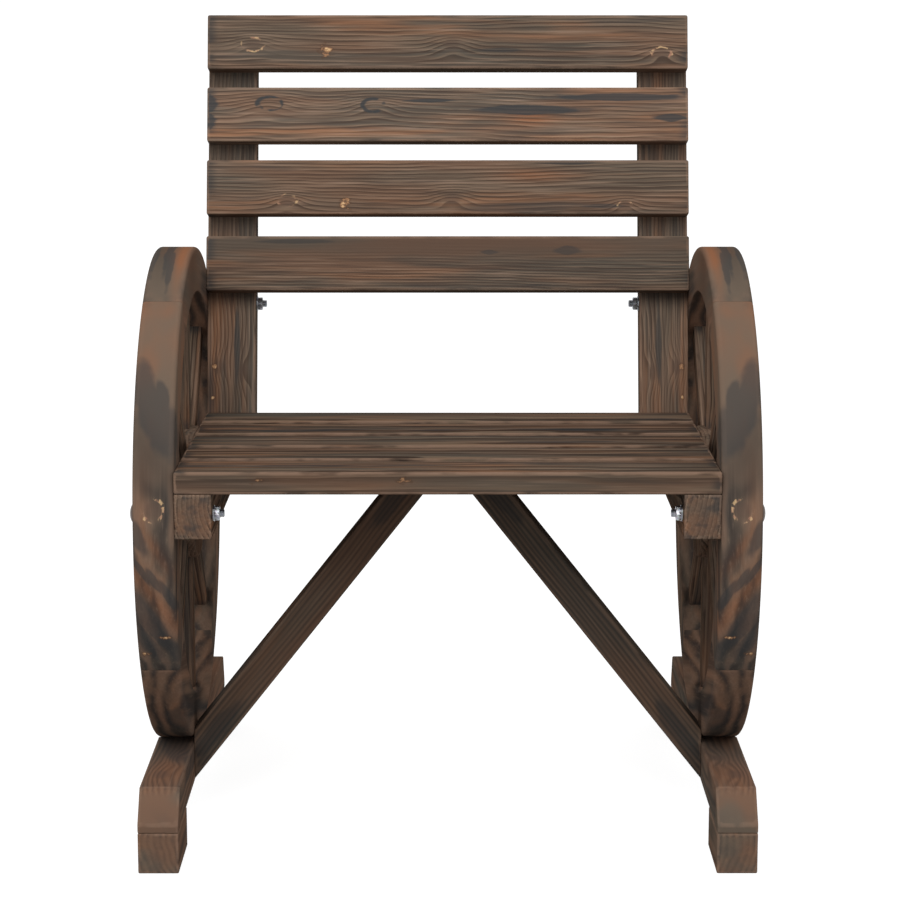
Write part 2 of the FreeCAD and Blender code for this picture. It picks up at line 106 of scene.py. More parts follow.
def timber(node, finish, axes, origin, size, start, finish_cut, stations, side,
           soft=eased, ease=eased, bend=None, bores=(), ridges=(), grain=(0, 0, 0)):
    """A sawn timber: its soft-cornered section is carried along the first of its three axes, and rings drawn
    in along a quarter circle round off each end, which lies on a plane (place, slope across, slope deep).
    Stations hold on the face with the bores and share out the length elsewhere; ridges are arrises across
    the face opposite to that. A bore opens one square of the grid to a circle and sinks that along a
    direction to a flat floor. Points keep their place in the log (board), and their distances from arris and
    end and whether they lie on an end face (edges)."""
    turn = np.radians(np.linspace(0, 90, 4))
    drawn = np.concatenate([[ease + worn], ease * (1 - np.sin(turn))])
    shift = np.concatenate([[0], ease * (1 - np.cos(turn))])
    caps = len(drawn)
    insets = np.concatenate([drawn, np.zeros(len(stations)), drawn[::-1]])
    rings, arris = map(np.array, zip(*(section(size, soft, inset) for inset in insets)))
    along = np.empty_like(arris)
    along[:caps] = start[0] + rings[:caps] @ np.array(start[1:]) + shift[:, None]
    along[-caps:] = finish_cut[0] + rings[-caps:] @ np.array(finish_cut[1:]) - shift[::-1, None]
    low, high = along[caps - 1], along[-caps]
    guide = side_columns * bores[0][0] + arc_points + 1 if bores else 0
    share = (np.array(stations) - low[guide]) / (high[guide] - low[guide])
    along[caps:-caps] = low + share[:, None] * (high - low)
    arris[1:caps] = 0
    arris[-caps:-1] = 0
    arris[[0, -1]] = worn
    upper = slice(2 * side_columns, 3 * side_columns + arc_points)
    # Ridges count as arrises along the beam's bends, so the pale arris line there is partly a painted
    # highlight.
    for ridge in ridges:
        arris[:, upper] = np.minimum(arris[:, upper], np.abs(along[:, upper] - ridge))
    tail = np.clip(np.minimum(along - start[0], finish_cut[0] - along), 0, None)
    flat = np.zeros_like(arris)
    flat[[0, -1]] = 1
    poles = [[start[0], 0, 0], [finish_cut[0], 0, 0]]
    spots = np.concatenate([np.concatenate([along[..., None], rings], -1).reshape(-1, 3), poles])
    edges = np.concatenate([np.stack([arris, tail, flat], -1).reshape(-1, 3), [[min(size) / 2, 0, 1]] * 2])
    grid, quads, fans = skin_faces(*arris.shape)
    keep = np.ones(len(quads), bool)
    extra = []
    across_way = np.array([[0, -1, 0], [0, 0, -1], [0, 1, 0], [0, 0, 1]])
    outwards = np.array([[0, 0, 1], [0, -1, 0], [0, 0, -1], [0, 1, 0]])
    round_hole = np.radians(225 + 360 / hole_points * np.arange(hole_points))
    eighth = hole_points // 8
    for face, station, across, wide, long, into, sunk in bores:
        row = caps + station
        left, middle, right = side_columns * face + arc_points + np.arange(3)
        keep[[r * grid.shape[1] + c for r in (row - 1, row) for c in (left, middle)]] = False
        square = grid[[row - 1] * 3 + [row] + [row + 1] * 3 + [row],
                      [left, middle, right, right, right, middle, left, left]].tolist()
        centre = outwards[face] * size[1 - face % 2] / 2 + across_way[face] * across
        centre = centre + [stations[station], 0, 0]
        mouth = centre + np.outer(wide * np.cos(round_hole), across_way[face])
        mouth[:, 0] += long * np.sin(round_hole)
        floor = mouth + np.outer(sunk - (mouth - centre) @ into, into)
        spots[grid[row, middle]] = centre + np.array(into) * sunk
        lip = np.arange(hole_points) + len(spots)
        foot = lip + hole_points
        spots = np.concatenate([spots, mouth, floor])
        edges = np.concatenate([edges, [[0, worn, 0]] * hole_points, [[worn, worn, 0]] * hole_points])
        for corner in range(8):
            inner = [int(lip[(eighth * corner + step) % hole_points]) for step in range(eighth, -1, -1)]
            extra.append([square[corner], square[(corner + 1) % 8]] + inner)
        extra += np.stack([lip, np.roll(lip, -1), np.roll(foot, -1), foot], -1).tolist()
        extra += np.stack([foot, np.roll(foot, -1), np.full(hole_points, grid[row, middle])], -1).tolist()
    faces = quads[keep].tolist() + fans.tolist() + extra
    axes = np.array(axes, float)
    if np.linalg.det(axes) * side < 0:
        faces = [face[::-1] for face in faces]
    points = np.array(origin) + spots @ axes if bend is None else bend(spots)
    board = (points - origin) @ axes.T + grain
    made = piece(node + "_wood", points * [side, 1, 1], faces, board=board, edges=edges)
    made.data.materials.append(finish)
    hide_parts(node)
    return made


def shown(red, green, blue):
    """The light that a display colour of 0 to 255 stands for."""
    share = np.array([red, green, blue]) / 255
    light = np.where(share < 0.04045, share / 12.92, ((share + 0.055) / 1.055) ** 2.4)
    return (*light.tolist(), 1.0)


def shade(tree, kind, *values, out=0, **options):
    """Adds one shader node: options are its settings, values fill its open sockets in turn."""
    made = tree.nodes.new("ShaderNode" + kind)
    for option, value in options.items():
        setattr(made, option, value)
    for socket, value in zip([s for s in made.inputs if s.enabled], values):
        if isinstance(value, bpy.types.NodeSocket):
            tree.links.new(value, socket)
        elif value is not None:
            socket.default_value = value
    return [s for s in made.outputs if s.enabled][out]


# The lift makes up for the shine that the wood does without; then come display colours of the stain, the
# rings, the fibres, the char, the smoke and painted shade, the knots, the worn places and the pale arrises,
# which are partly a painted highlight.
stain_lift = np.array([1.12, 1.19, 1.28])
grey_brown = (101, 86, 72)
red_brown = (113, 85, 67)
rust = (136, 94, 67)
slate = (78, 74, 66)
deep_rust = (142, 88, 56)
fine_early_wood = (142, 116, 92)
broad_early_wood = (130, 98, 78)
fine_late_wood = (64, 50, 41)
broad_late_wood = (58, 51, 47)
dark_fibre = (66, 53, 46)
pale_fibre = (156, 127, 105)
soot_and_shade = (56, 49, 44)
# Dark brown for smoke on charred wood and for painted shade.
charcoal = (56, 56, 55)
knot_brown = (78, 62, 54)
fleck_pink = (168, 122, 97)
fleck_cream = (206, 168, 122)
bare_shadow = (84, 60, 46)
bare_tan = (168, 122, 86)
bare_cream = (214, 174, 126)
# Pale arris colour, for wear and for a painted highlight.
worn_and_highlit_arris = (144, 114, 93)


def stained_fir(name, flecked=(), swirls=(), eyes=(), bare=(), burns=(), calm=(), smoked_and_shaded=(), warmed=(),
                ring_width=4.8 * mm, stain=1.0, sway=1.0, push=5 * mm, crisp=True, contrast=1.0, burnt=0.85,
                charred=0.5, rubbed_and_highlit=0.35, slant=0.0, tips=0.6):
    """Charred and stained fir. Yearly rings are the distance from the log's heart line, which sways and is
    pushed aside by knots, cut into repeating steps; fibres are long thin noise, stain and char slow noise.
    A mark is a bell-shaped hump over an oval (centre, then half sizes): flecked knots have broken pale arcs,
    swirls have charred ones, eyes are plain, bare spots are pale, a burn is char in a pointed lens or, on
    broad rings, in a ragged oval, smoke and painted shade darken softly, warm places are rusty, and rings
    fade where it is calm. A slant shears burnt, darkened and warm ovals along the grain as they go across
    it. Char gathers near the tips, and arrises turn pale, partly from wear and partly as a painted
    highlight."""
    finish = bpy.data.materials.new(name)
    finish.use_nodes = True
    tree = finish.node_tree
    skin = tree.nodes["Principled BSDF"]
    board = shade(tree, "Attribute", attribute_name="board", out=1)
    edges = shade(tree, "SeparateXYZ", shade(tree, "Attribute", attribute_name="edges", out=1)).node

    def vector(kind, *values):
        return shade(tree, "VectorMath", *values, operation=kind)

    def number(kind, *values):
        return shade(tree, "Math", *values, operation=kind)

    def streaks(stretch, detail=2.0, out=0):
        return shade(tree, "TexNoise", vector("MULTIPLY", board, stretch), 1.0, detail, 0.55, out=out)

    def rise(value, low, high, top=1.0):
        return shade(tree, "MapRange", value, low, high, 0.0, top, interpolation_type="SMOOTHSTEP")

    def dyed(display):
        return tuple(np.array(shown(*display)) * [*(stain_lift * stain), 1])

    def blend(share, under, over):
        return shade(tree, "Mix", share, under, over, data_type="RGBA")

    def humps(ovals, spread=(1, 1, 1), pointed=False, sheared=False):
        total = None
        for oval in ovals:
            centre, half = tuple(oval[:3]), np.array(oval[3:]) * spread
            away = vector("SUBTRACT", board, centre)
            if sheared and slant:
                skew = vector("DOT_PRODUCT", away, (0, slant, 0))
                away = vector("ADD", away, shade(tree, "CombineXYZ", skew, 0.0, 0.0))
            away = vector("MULTIPLY", away, tuple(1 / half))
            other = vector("MULTIPLY", away, (0, 1, 1)) if pointed else away
            far = vector("DOT_PRODUCT", other, other)
            if pointed:
                far = number("ADD", far, number("ABSOLUTE", shade(tree, "SeparateXYZ", away)))
            fall = number("EXPONENT", number("MULTIPLY", far, -1.0))
            total = number("MAXIMUM", total, fall) if total else fall
        return total

    bent = board
    quick = (((9, 25, 25), 5 * mm), ((26, 45, 45), 1.6 * mm)) if crisp else (((7, 10, 10), 9 * mm),)
    for stretch, far in (((2.2, 9, 9), 24 * mm), *quick):
        way = vector("SUBTRACT", streaks(stretch, 1.0, out=1), (0.5, 0.5, 0.5))
        bent = vector("MULTIPLY_ADD", way, (0, far * sway, far * sway), bent)
    heart = vector("LENGTH", vector("MULTIPLY", bent, (0, 1, 1)))
    knots = [*flecked, *swirls, *eyes]
    if knots:
        heart = number("MULTIPLY_ADD", humps(knots, (1.7, 1.3, 1.5)), -push, heart)
    uneven = shade(tree, "TexNoise", vector("MULTIPLY", bent, (1, 45, 45)), 1.0, 1.0, 0.5)
    year = number("FRACT", number("MULTIPLY_ADD", heart, 1 / ring_width, number("MULTIPLY", uneven, 1.4)))
    if crisp:
        late = number("MULTIPLY", rise(year, 0.42, 0.9), rise(year, 1.0, 0.94))
        early = rise(year, 0.4, 0.02)
    else:
        late = number("MULTIPLY", rise(year, 0.1, 0.65), rise(year, 1.0, 0.6))
        early = number("SUBTRACT", 0.7, late)
    lively = rise(edges.outputs[2], 1.6, 0.0)
    if calm:
        lively = number("MULTIPLY", lively, rise(humps(calm), 0.7, 0.2))
    kept = number("MULTIPLY", rise(streaks((5, 50, 50)), 0.18, 0.52, contrast), lively)
    late = number("MULTIPLY", late, kept)
    early = number("MULTIPLY", early, kept)
    fibre = streaks((11, 420, 420), 3.0)
    weight = number("MULTIPLY", lively, 1.0 if crisp else 0.3)

    tone = blend(rise(streaks((3.5, 20, 20)), 0.38, 0.62), dyed(grey_brown), dyed(red_brown))
    warm = rise(streaks((4.5, 60, 60)), 0.5, 0.68, 0.75 if crisp else 0.45)
    tone = blend(number("MULTIPLY", warm, lively), tone, dyed(rust))
    grey = rise(streaks((3.2, 34, 34), 3.0) if crisp else streaks((3.2, 14, 14), 1.0), 0.48, 0.6, 0.7)
    tone = blend(number("MULTIPLY", grey, lively), tone, dyed(slate))
    if warmed:
        tone = blend(number("MULTIPLY", humps(warmed, sheared=True), 0.65), tone, dyed(deep_rust))
    early_tone = dyed(fine_early_wood if crisp else broad_early_wood)
    late_tone = dyed(fine_late_wood if crisp else broad_late_wood)
    tone = blend(number("MULTIPLY", early, 0.45 if crisp else 0.7), tone, early_tone)
    tone = blend(number("MULTIPLY", late, 0.88), tone, late_tone)
    tone = blend(number("MULTIPLY", rise(fibre, 0.47, 0.7, 0.6), weight), tone, dyed(dark_fibre))
    tone = blend(number("MULTIPLY", rise(fibre, 0.48, 0.27, 0.45), weight), tone, dyed(pale_fibre))
    # Soft dark ovals: smoke on charred wood, and painted shade where other parts would shadow the surface.
    if smoked_and_shaded:
        tone = blend(number("MULTIPLY", humps(smoked_and_shaded, sheared=True), 0.5), tone, dyed(soot_and_shade))
    char = rise(streaks((4.5, 50, 50), 3.0) if crisp else streaks((4.5, 20, 20), 1.0), 0.6, 0.7, charred)
    char = number("MULTIPLY", char, lively)
    if burns:
        ragged = streaks((40, 260, 260) if crisp else (30, 45, 45))
        burn = humps(burns, pointed=crisp, sheared=True)
        ragged = number("MULTIPLY_ADD", ragged, 0.4 if crisp else 0.8, burn)
        low, high = (0.53, 0.75) if crisp else (0.73, 1.05)
        char = number("MAXIMUM", char, rise(ragged, low, high, burnt))
    if swirls:
        knot = humps(swirls)
        ring = number("MULTIPLY", rise(knot, 0.4, 0.52), rise(knot, 0.8, 0.65))
        char = number("MAXIMUM", char, number("MULTIPLY", ring, rise(streaks((60, 80, 40)), 0.4, 0.52, 0.9)))
    near_end = rise(edges.outputs[1], 14 * mm, 3 * mm)
    char = number("MAXIMUM", char, number("MULTIPLY", near_end, rise(streaks((9, 50, 50)), 0.45, 0.6, tips)))
    tone = blend(char, tone, dyed(charcoal))
    if flecked or eyes:
        tone = blend(rise(humps([*flecked, *eyes]), 0.4, 0.9, 0.4), tone, dyed(knot_brown))
    if flecked:
        torn = streaks((130, 220, 60), 3.0)
        knot = number("MULTIPLY_ADD", torn, 0.4, humps(flecked))
        arc = number("MULTIPLY", rise(knot, 0.57, 0.63), rise(knot, 0.81, 0.73))
        fleck = number("MULTIPLY", arc, rise(streaks((60, 90, 60)), 0.45, 0.56, 0.75))
        fleck = number("MULTIPLY", fleck, rise(streaks((190, 260, 60)), 0.36, 0.5))
        tone = blend(fleck, tone, blend(rise(torn, 0.42, 0.58), dyed(fleck_pink), dyed(fleck_cream)))
    if bare:
        ragged = number("MULTIPLY_ADD", streaks((150, 260, 260), 3.0), 2.0, humps(bare))
        tone = blend(rise(ragged, 1.35, 1.7, 0.45), tone, dyed(bare_shadow))
        tone = blend(rise(ragged, 1.7, 1.9, 0.7), tone, dyed(bare_tan))
        tone = blend(rise(ragged, 1.95, 2.1, 0.85), tone, dyed(bare_cream))
    # Pale arris line: partly wear, partly a painted highlight where the eased edges catch the light.
    near_arris = rise(edges.outputs[0], 1.6 * mm, 0.2 * mm)
    rub_and_highlight = number("MULTIPLY", near_arris, rise(streaks((30, 90, 90)), 0.3, 0.6, rubbed_and_highlit))
    tone = blend(rub_and_highlight, tone, dyed(worn_and_highlit_arris))
    tree.links.new(tone, skin.inputs["Base Color"])
    tree.links.new(number("MULTIPLY_ADD", fibre, 0.25, 0.6), skin.inputs["Roughness"])
    relief = number("MULTIPLY_ADD", late, 0.6, number("MULTIPLY", fibre, number("MULTIPLY", weight, 0.5)))
    bump = shade(tree, "Bump", 0.2, 0.6 * mm)
    tree.links.new(relief, bump.node.inputs["Height"])
    tree.links.new(bump, skin.inputs["Normal"])
    skin.inputs["Specular IOR Level"].default_value = 0.0
    return finish


def marks(kinds, grain):
    """Moves each kind's marks, given from a timber's middle, to where that timber lies in its log."""
    return {kind: [np.array(oval) + [*grain, 0, 0, 0] for oval in ovals] for kind, ovals in kinds.items()}


foot_fir = stained_fir("foot_fir", ring_width=6 * mm, stain=0.95, crisp=False, contrast=0.6, tips=0.2)
foot_axes = ((0, 1, 0), (1, 0, 0), (0, 0, -1))
for tag, side in both_sides:
    for end, middle in (("front", pad_length / 2 - beam_end), ("rear", beam_end - pad_length / 2)):
        half = pad_length / 2
        holes = (-pad_screw_apart / 2, pad_screw_apart / 2)
        stations = [eased + worn - half]
        for hole in holes:
            stations += [hole - bore_room, hole, hole + bore_room]
        stations.append(half - eased - worn)
        bores = [(0, place, 0, access_radius, access_radius, (0, 0, -1), pad_screw_sink) for place in (2, 5)]
        timber("%s_%s_foot_pad" % (tag, end), foot_fir, foot_axes, (wheel_line, middle, pad_height / 2),
               (wheel_thick, pad_height), (-half, 0, 0), (half, 0, 0), stations, side,
               bores=bores, grain=(side * 1.3 + middle * 7, 0.09, 0.01))

# Foot beams
# One beam of fir along the floor on each side, its ends sloped off and its middle hollowed to cradle
# the wheel. Screws go up through it into the rim, from holes in its underside.
beam_height = 40 * mm
beam_top = pad_height + beam_height
beam_slope_high = 32 * mm
beam_slope_front = 25 * mm
beam_slope_rear = 13 * mm
wheel_radius = 259 * mm
wheel_middle = 329.4 * mm
wheel_screw_apart = 70 * mm
wheel_screw_sink = 5 * mm


def beam_shape(spots):
    """Carries the beam's section along y: its top follows the sloped ends and the wheel's round, its bottom
    is level, and only the flat between its eased corners stretches."""
    along, across, deep = spots.T
    slope_front = (along + beam_end) / beam_slope_front
    slope_rear = (beam_end - along) / beam_slope_rear
    top = beam_top - beam_slope_high * np.clip(1 - np.minimum(slope_front, slope_rear), 0, 1)
    cradle = wheel_middle - np.sqrt(np.clip(wheel_radius ** 2 - along ** 2, 0, None))
    top = np.minimum(top, cradle)
    half = beam_height / 2
    share = np.clip((half - deep - eased) / (2 * half - 2 * eased), 0, 1)
    level = pad_height + (half - deep) + share * (top - pad_height - beam_height)
    return np.stack([wheel_line + across, along, level], -1)


cradle_half = np.sqrt(wheel_radius ** 2 - (wheel_middle - beam_top) ** 2)
breaks = np.array([beam_slope_front - beam_end, -cradle_half, cradle_half, beam_end - beam_slope_rear])
beam_stations = np.concatenate([[eased + worn - beam_end], (breaks[:, None] + [-worn, 0, worn]).ravel(),
                                np.linspace(-65, 65, 14) * mm, [beam_end - eased - worn]])
screw_rows = np.array([-1, 1]) * wheel_screw_apart / 2
beam_stations = beam_stations[np.abs(np.abs(beam_stations) - wheel_screw_apart / 2) > bore_room]
screw_stations = screw_rows[:, None] + np.array([-1, 0, 1]) * bore_room
beam_stations = np.sort(np.concatenate([beam_stations, screw_stations.ravel()]))
beam_marks = {
    "eyes": [(-0.205, 0.003, -0.02, 0.020, 0.012, 0.02), (-0.15, -0.008, -0.02, 0.014, 0.008, 0.02)],
    "calm": [(-0.263, 0, 0, 0.016, 0.1, 0.1)],
    # The first oval is painted shade along the beam's top and the upper edge of its sides; the second
    # darkens the front end, more towards the bottom.
    "smoked_and_shaded": [(0, 0, -0.025, 0.5, 0.1, 0.007), (-0.263, 0, 0.11, 0.02, 0.1, 0.1)],
    "warmed": [(-0.2, 0, -0.024, 0.05, 0.03, 0.006), (0.2, 0, -0.024, 0.05, 0.03, 0.006)],
}
for tag, side in both_sides:
    rows = [int(np.argmin(np.abs(beam_stations - row))) for row in screw_rows]
    bores = [(0, row, 0, access_radius, access_radius, (0, 0, -1), wheel_screw_sink) for row in rows]
    grain = (side * 2.1 + 5, 0.07, 0.02)
    finish = stained_fir(tag + "_beam_fir", **marks(beam_marks, grain), ring_width=6 * mm, stain=1.05,
                         push=9 * mm, crisp=False, contrast=0.5, rubbed_and_highlit=0.2, tips=0.1)
    timber(tag + "_foot_beam", finish, foot_axes, (wheel_line, 0, pad_height + beam_height / 2),
           (wheel_thick, beam_height), (-beam_end, 0, 0), (beam_end, 0, 0), beam_stations, side,
           bend=beam_shape, bores=bores, ridges=breaks, grain=grain)

# Wheel rims
# Four felloes make each rim: quarter rings bandsawn from straight planks, so the grain runs out across
# the tread. They are butted with hidden dowels, and the tread's two edges are rounded over.
rim_width = 47 * mm
rim_middle = wheel_radius - rim_width / 2
tread_round = 4 * mm
joint_ease = 0.7 * mm
joint_turn = 58


def rim_round(spots):
    """Carries the rim's section about the axle line: the distance along is the angle times the rim's
    middle radius."""
    along, across, out = spots.T
    angle = along / rim_middle
    radius = rim_middle + out
    level = wheel_middle + radius * np.sin(angle)
    return np.stack([wheel_line + across, -radius * np.cos(angle), level], -1)


broad = 17 * mm
rim_grain = ((3.3, 0.11, 0.01), (6.6, -0.05, 0.05), (9.9, 0.10, 0.02), (13.2, 0.06, 0.05))
top_marks = {
    "burns": [(-0.06, 0.003, 0, 0.10, 0.005, 0.1), (-0.13, -0.002, 0, 0.05, 0.004, 0.1),
              (-0.10, 0.017, 0, 0.06, 0.005, 0.1)],
    "smoked_and_shaded": [(-0.08, 0.010, 0, 0.10, 0.016, 0.1), (-0.09, -0.022, 0, 0.05, 0.004, 0.1)],
    "warmed": [(-0.09, -0.011, 0, 0.08, 0.006, 0.1)],
    "calm": [(-0.10, 0.0, 0.0, 0.13, 0.03, 0.14)],
}
front_marks = {
    "flecked": [(-0.027, 0.0, 0.022, 0.013, 0.012, 0.03)],
    "bare": [(-0.150, -0.008, -0.03, 0.0022, 0.007, 0.06), (-0.166, 0.012, -0.04, 0.002, 0.006, 0.06)],
    "burns": [(0.072, 0.002, 0.012, 0.040, 0.034, 0.06), (0.084, -0.007, 0.012, 0.018, 0.010, 0.06),
              (-0.052, 0.016, 0.012, 0.016, 0.012, 0.06), (-0.084, 0.013, 0, 0.007, 0.010, 0.06),
              (-0.095, 0.0, 0, 0.008, 0.010, 0.06), (-0.109, -0.013, 0, 0.009, 0.012, 0.06),
              (-0.142, 0.0, 0, 0.020, 0.05, 0.06), (-0.168, 0.0, 0, 0.016, 0.05, 0.06)],
    "smoked_and_shaded": [(0.022, 0.0, 0.012, 0.035, 0.06, 0.06)],
    "warmed": [(0.135, 0.0, -0.15, 0.05, 0.05, 0.1), (-0.070, -0.006, 0.01, 0.010, 0.014, 0.06),
               (-0.113, 0.0, 0, 0.011, 0.05, 0.06)],
    "calm": [(0.12, 0.0, 0.0, 0.13, 0.14, 0.14)],
}
rim_finish = [stained_fir("rim_fir_%d" % (count + 1), **marks(kinds, rim_grain[count]), ring_width=broad,
                          stain=1.02, sway=1.2, push=11 * mm, crisp=False, burnt=0.6, charred=0.4,
                          rubbed_and_highlit=0.05, slant=-1.3, tips=0.15)
              for count, kinds in enumerate((top_marks, front_marks, {}, {}))]
for tag, side in both_sides:
    for count in range(1, 5):
        low, high = np.radians([joint_turn + 90 - 90 * count, joint_turn + 180 - 90 * count])
        middle = (low + high) / 2
        chord = (0, np.sin(middle), np.cos(middle))
        spoke_way = (0, -np.cos(middle), np.sin(middle))
        centre = np.array([wheel_line, 0, wheel_middle]) + np.array(spoke_way) * rim_middle
        first, last = low * rim_middle, high * rim_middle
        stations = np.linspace(first + joint_ease + worn, last - joint_ease - worn, 40)
        timber("%s_wheel_felloe_%d" % (tag, count), rim_finish[count - 1], (chord, (1, 0, 0), spoke_way),
               centre, (wheel_thick, rim_width), (first, 0, 0), (last, 0, 0), stations, side,
               soft=(tread_round, tread_round, eased, eased), ease=joint_ease, bend=rim_round,
               grain=rim_grain[count - 1])

# Wheel hubs
# A thick round disc of fir at the middle of each wheel, sawn from one plank, with its edges rounded over.
# Eight spokes are tenoned into its rim, and two screws from the seat rail hold it.
wheel_fir = stained_fir("wheel_fir", stain=0.75, charred=0.4)
hub_radius = 70 * mm
hub_round = 3 * mm
hub_columns = 72


def lathe(profile, columns):
    """A turned shape: a profile of (height, radius) carried round the axis, given as points (height, side,
    side)."""
    angle = np.linspace(0, 2 * np.pi, columns, endpoint=False)
    high, far = np.array(profile).T[..., None]
    return np.stack([high + 0 * angle, far * np.cos(angle), far * np.sin(angle)], -1)


soft = np.radians(np.linspace(0, 90, 6))
hub_edge = np.stack([wheel_thick / 2 - hub_round * (1 - np.cos(soft)),
                     hub_radius - hub_round * (1 - np.sin(soft))], -1)
face_radii = np.array([15, 40, 64]) * mm
hub_face = np.stack([np.full(len(face_radii), wheel_thick / 2), face_radii], -1)
hub_half = np.concatenate([hub_face, hub_edge])
hub_profile = np.concatenate([hub_half * [-1, 1], hub_half[::-1]])
hub_arris = np.concatenate([hub_radius - face_radii, np.zeros(len(hub_edge))])
for tag, side in both_sides:
    shape = lathe(hub_profile, hub_columns)
    spots = np.concatenate([shape.reshape(-1, 3), [[-wheel_thick / 2, 0, 0], [wheel_thick / 2, 0, 0]]])
    apart = np.repeat(np.concatenate([hub_arris, hub_arris[::-1]]), hub_columns)
    apart = np.concatenate([apart, [hub_radius] * 2])
    grid, quads, fans = skin_faces(*shape.shape[:2])
    faces = quads.tolist() + fans.tolist()
    if side < 0:
        faces = [face[::-1] for face in faces]
    points = np.array([wheel_line, 0, wheel_middle]) + spots
    board = spots[:, [2, 1, 0]] + [4.4 + side, 0.03, 0.05]
    edges = np.stack([apart, np.full(len(apart), 1.0), np.zeros(len(apart))], -1)
    hub = piece(tag + "_wheel_hub_wood", points * [side, 1, 1], faces, board=board, edges=edges)
    hub.data.materials.append(wheel_fir)
    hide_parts(tag + "_wheel_hub")

# Wheel spokes
# Eight square bars of fir in each wheel, planed with eased arrises and scribed to the hub and the rim.
# A round tenon at each end is hidden in its socket.
spoke_thick = 24 * mm
spoke_soft = 2 * mm
spoke_count = 8
scribed_ease = 0.3 * mm
rim_inner = wheel_radius - rim_width


def scribed(low, high, way, middle):
    """Carries a spoke's section outwards so that each end lies on the round it meets: the square root of the
    round's radius squared less the offset squared, and evenly between the two ends."""
    def shape(spots):
        along, across, deep = spots.T
        ends = np.sqrt(np.array([[low], [high]]) ** 2 - deep ** 2)
        out = ends[0] + (ends[1] - ends[0]) * (along - low) / (high - low)
        sideways = np.array([0, -way[2], way[1]])
        return middle + np.outer(out, way) + np.outer(deep, sideways) + np.outer(across, [1, 0, 0])
    return shape


for tag, side in both_sides:
    for count in range(1, spoke_count + 1):
        turn = np.radians(360 / spoke_count * (count - 1))
        way = np.array([0, -np.cos(turn), np.sin(turn)])
        middle = np.array([wheel_line, 0, wheel_middle])
        stations = np.linspace(hub_radius + 2 * mm, rim_inner - 2 * mm, 9)
        timber("%s_wheel_spoke_%d" % (tag, count), wheel_fir, (way, (1, 0, 0), (0, -way[2], way[1])), middle,
               (spoke_thick, spoke_thick), (hub_radius, 0, 0), (rim_inner, 0, 0), stations, side,
               soft=spoke_soft, ease=scribed_ease, bend=scribed(hub_radius, rim_inner, way, middle),
               grain=(count * 1.9 + side * 0.4, 0.05 + 0.004 * count, 0.03))

# Felloe dowels
# Short pins of pale unstained dowel rod across the rim's four joints, glued in and out of sight.
pale_rod = bpy.data.materials.new("plain_dowel_wood")
pale_rod.use_nodes = True
tree = pale_rod.node_tree
place = shade(tree, "TexCoord", out=3)
thin = shade(tree, "VectorMath", place, (500, 60, 60), operation="MULTIPLY")
fibres = shade(tree, "TexNoise", thin, 1.0, 3.0, 0.6)
tone = shade(tree, "Mix", fibres, shown(196, 160, 118), shown(164, 124, 84), data_type="RGBA")
tree.links.new(tone, tree.nodes["Principled BSDF"].inputs["Base Color"])
tree.nodes["Principled BSDF"].inputs["Roughness"].default_value = 0.7
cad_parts["felloe_dowels"].data.materials.clear()
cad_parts["felloe_dowels"].data.materials.append(pale_rod)

# Seat rails
# A bar of fir under each end of the seat, bolted through the rim at the front and screwed to the hub.
# Its rear end is cut to the slope of the back post; screws for the seat slats go up from its underside.
rail_fir = stained_fir("rail_fir", ring_width=4.5 * mm, stain=0.93)
rail_width = 36 * mm
rail_height = 44 * mm
rail_line = inner_face - rail_width / 2
seat_under = 376 * mm
rail_under = seat_under - rail_height
rail_middle = seat_under - rail_height / 2
seat_front = 255 * mm
slat_width = 60 * mm
slat_pitch = 73.5 * mm
seat_screw_sink = 4 * mm
seat_screw_past_bolt = 13 * mm
rail_last_station = 85 * mm
lean = np.radians(14.2)
post_foot = 99.5 * mm
rail_bolt_y = -np.sqrt(rim_middle ** 2 - (rail_middle - wheel_middle) ** 2)
seat_screw_rows = np.arange(5) * slat_pitch + slat_width / 2 - seat_front
seat_screw_rows[0] = rail_bolt_y + seat_screw_past_bolt
screw_stations = seat_screw_rows[:, None] + np.array([-1, 0, 1]) * bore_room
rail_stations = np.concatenate([[eased + worn - seat_front], screw_stations.ravel(), [rail_last_station]])
rail_end_cut = (post_foot - rail_height / 2 * np.tan(lean), 0, -np.tan(lean))
for tag, side in both_sides:
    bores = [(0, 2 + 3 * row, 0, access_radius, access_radius, (0, 0, -1), seat_screw_sink)
             for row in range(len(seat_screw_rows))]
    timber(tag + "_seat_rail", rail_fir, foot_axes, (rail_line, 0, rail_middle), (rail_width, rail_height),
           (-seat_front, 0, 0), rail_end_cut, rail_stations, side,
           bores=bores, grain=(side * 1.1 + 8, 0.10, 0.015))

# Seat slats
# Five planed boards of fir across the rails, with a gap between them and all their edges rounded.
# They are screwed from below, so their tops are clean.
seat_half = 264 * mm
slat_thick = 22 * mm
slat_round = 2 * mm
slat_stations = np.array([-1, -0.95, -0.5, 0, 0.5, 0.95, 1]) * (seat_half - slat_round - worn)
seat_front_marks = {
    "bare": [(-0.184, -0.0335, 0.003, 0.013, 0.006, 0.004), (-0.042, -0.030, 0.003, 0.008, 0.006, 0.004)],
    "calm": [(0, -0.038, 0, 2.0, 0.009, 0.05)],
}
